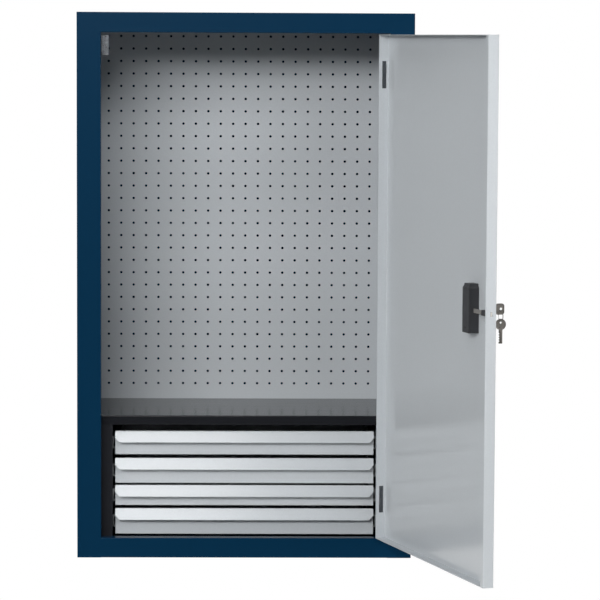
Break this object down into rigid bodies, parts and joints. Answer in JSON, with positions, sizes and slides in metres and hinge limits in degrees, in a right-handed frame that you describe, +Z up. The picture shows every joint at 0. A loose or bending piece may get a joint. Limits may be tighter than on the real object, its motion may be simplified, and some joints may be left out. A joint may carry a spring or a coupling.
{
  "type": "wall cabinet",
  "caption": "Sheet-steel wall tool cabinet: hinged door with keyed knob and sliding bolt, perforated tool panel, shelf and shallow drawers on rails.",
  "frame": {"origin": "centre of the four wall fixing holes, on the wall plane at the cabinet's back", "axes": "+X to the right as seen from the front, +Y into the wall, +Z up"},
  "size_m": [0.7873, 0.8531, 1.05],
  "materials": {
    "body_paint": "semi-gloss dark blue powder coat",
    "grey_paint": "light grey powder coat, semi-gloss",
    "shelf_paint": "dark grey semi-gloss paint",
    "unit_paint": "black paint",
    "rail_zinc": "zinc plated sheet",
    "hinge_steel": "satin steel",
    "lock_black": "moulded black plastic",
    "bright_steel": "bright nickel plated steel",
    "plug_brass": "satin brass",
    "key_steel": "stamped nickel steel"
  },
  "bodies": {
    "cabinet": {"side_panel_left": "body_paint", "side_panel_right": "body_paint", "top_panel": "body_paint", "bottom_panel": "body_paint", "back_panel": "body_paint", "rear_rail_upper": "rail_zinc", "rear_rail_lower": "rail_zinc", "tool_panel": "grey_paint", "tool_panel_screws": "rail_zinc", "door_stop": "hinge_steel", "shelf": "shelf_paint", "drawer_unit_side_left": "unit_paint", "drawer_unit_side_right": "unit_paint", "hinge_upper_frame_leaf": "hinge_steel", "hinge_upper_pin": "hinge_steel", "hinge_lower_frame_leaf": "hinge_steel", "hinge_lower_pin": "hinge_steel", "drawer_1_rail_left": "rail_zinc", "drawer_1_rail_right": "rail_zinc", "drawer_2_rail_left": "rail_zinc", "drawer_2_rail_right": "rail_zinc", "drawer_3_rail_left": "rail_zinc", "drawer_3_rail_right": "rail_zinc", "drawer_4_rail_left": "rail_zinc", "drawer_4_rail_right": "rail_zinc"},
    "door": {"door_panel": "grey_paint", "hinge_upper_door_leaf": "hinge_steel", "hinge_lower_door_leaf": "hinge_steel", "lock_case": "lock_black", "lock_case_screws": "bright_steel", "lock_rosette": "bright_steel", "lock_bolt_guide": "lock_black"},
    "knob": {"knob": "lock_black", "lock_spindle": "bright_steel", "lock_cylinder": "bright_steel"},
    "bolt": {"lock_bolt": "bright_steel"},
    "key": {"lock_plug": "plug_brass", "key": "key_steel"},
    "key_ring": {"key_ring": "key_steel"},
    "spare_key": {"spare_key": "key_steel"},
    "drawer_1": {"drawer_1_front": "grey_paint", "drawer_1_tray_walls": "grey_paint", "drawer_1_tray_floor": "grey_paint", "drawer_1_runner_left": "rail_zinc", "drawer_1_runner_right": "rail_zinc"},
    "drawer_2": {"drawer_2_front": "grey_paint", "drawer_2_tray_walls": "grey_paint", "drawer_2_tray_floor": "grey_paint", "drawer_2_runner_left": "rail_zinc", "drawer_2_runner_right": "rail_zinc"},
    "drawer_3": {"drawer_3_front": "grey_paint", "drawer_3_tray_walls": "grey_paint", "drawer_3_tray_floor": "grey_paint", "drawer_3_runner_left": "rail_zinc", "drawer_3_runner_right": "rail_zinc"},
    "drawer_4": {"drawer_4_front": "grey_paint", "drawer_4_tray_walls": "grey_paint", "drawer_4_tray_floor": "grey_paint", "drawer_4_runner_left": "rail_zinc", "drawer_4_runner_right": "rail_zinc"}
  },
  "joints": [
    {"name": "door_hinge", "type": "hinge", "parent": "cabinet", "child": "door", "pos_m": [0.2755, -0.3232, 0], "axis": [0, 0, 1], "range_deg": [-107.6, 12.4]},
    {"name": "knob_turn", "type": "hinge", "parent": "door", "child": "knob", "pos_m": [0.41003, -0.75787, -0.0015], "axis": [0.9532, 0.3024, 0], "range_deg": [0, 90]},
    {"name": "bolt_slide", "type": "slide", "parent": "door", "child": "bolt", "axis": [0.3024, -0.9532, 0], "range_m": [0, 0.01132]},
    {"name": "key_turn", "type": "hinge", "parent": "knob", "child": "key", "pos_m": [0.41003, -0.75787, -0.0015], "axis": [0.9532, 0.3024, 0], "range_deg": [0, 90]},
    {"name": "ring_swing", "type": "hinge", "parent": "key", "child": "key_ring", "pos_m": [0.45492, -0.74363, -0.0032], "axis": [0.3024, -0.9532, 0], "range_deg": [-15, 40]},
    {"name": "spare_key_swing", "type": "hinge", "parent": "key_ring", "child": "spare_key", "pos_m": [0.45492, -0.74363, -0.0242], "axis": [0.3024, -0.9532, 0], "range_deg": [-15, 40]},
    {"name": "drawer_1_slide", "type": "slide", "parent": "cabinet", "child": "drawer_1", "axis": [0, -1, 0], "range_m": [0, 0.18]},
    {"name": "drawer_2_slide", "type": "slide", "parent": "cabinet", "child": "drawer_2", "axis": [0, -1, 0], "range_m": [0, 0.18]},
    {"name": "drawer_3_slide", "type": "slide", "parent": "cabinet", "child": "drawer_3", "axis": [0, -1, 0], "range_m": [0, 0.18]},
    {"name": "drawer_4_slide", "type": "slide", "parent": "cabinet", "child": "drawer_4", "axis": [0, -1, 0], "range_m": [0, 0.18]}
  ],
  "couplings": [
    {"joint": "bolt_slide", "follows": "knob_turn", "m_per_rad": 0.0072025}
  ]
}
